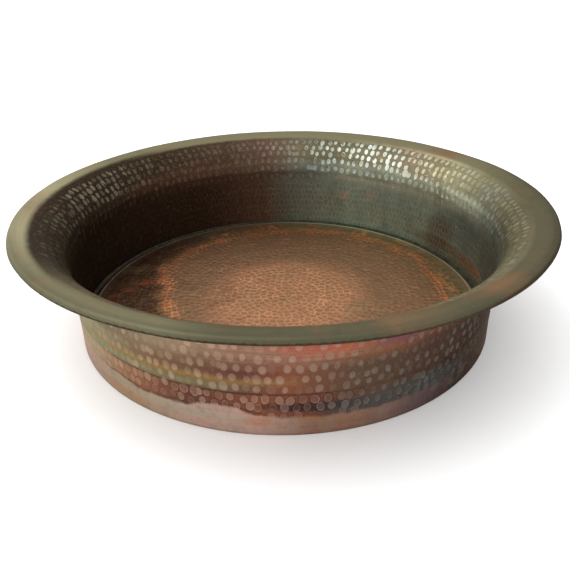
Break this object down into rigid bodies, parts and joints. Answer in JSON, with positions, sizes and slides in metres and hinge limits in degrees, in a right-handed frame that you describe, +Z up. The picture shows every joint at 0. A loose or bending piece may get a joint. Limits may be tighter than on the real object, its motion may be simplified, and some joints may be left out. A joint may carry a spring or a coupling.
{
  "type": "hammered copper bowl",
  "caption": "Low hammered copper basin with a nearly straight wall, a wide bell-mouthed rim rolled over a wire, and a hammered floor set into the foot",
  "frame": {"origin": "on the table, at the centre of the foot", "axes": "+Z up along the bowl's axis of revolution; +X right and +Y away from a viewer at the front; the brazed side joint lies 75 degrees clockwise from +X, towards -Y"},
  "size_m": [0.432, 0.432, 0.102],
  "materials": {
    "wall_copper": "hammered copper sheet with a dark olive, brown and rose patina",
    "braze": "planished braze, patinated like the wall",
    "wire_copper": "plain drawn copper wire",
    "floor_copper": "hammered copper sheet, brown patina rubbed back to orange",
    "solder": "dull grey soft solder"
  },
  "bodies": {
    "root": {"wall": "wall_copper", "side_seam": "braze", "rim_wire": "wire_copper", "floor_pan": "floor_copper", "floor_seam": "solder"}
  },
  "joints": []
}
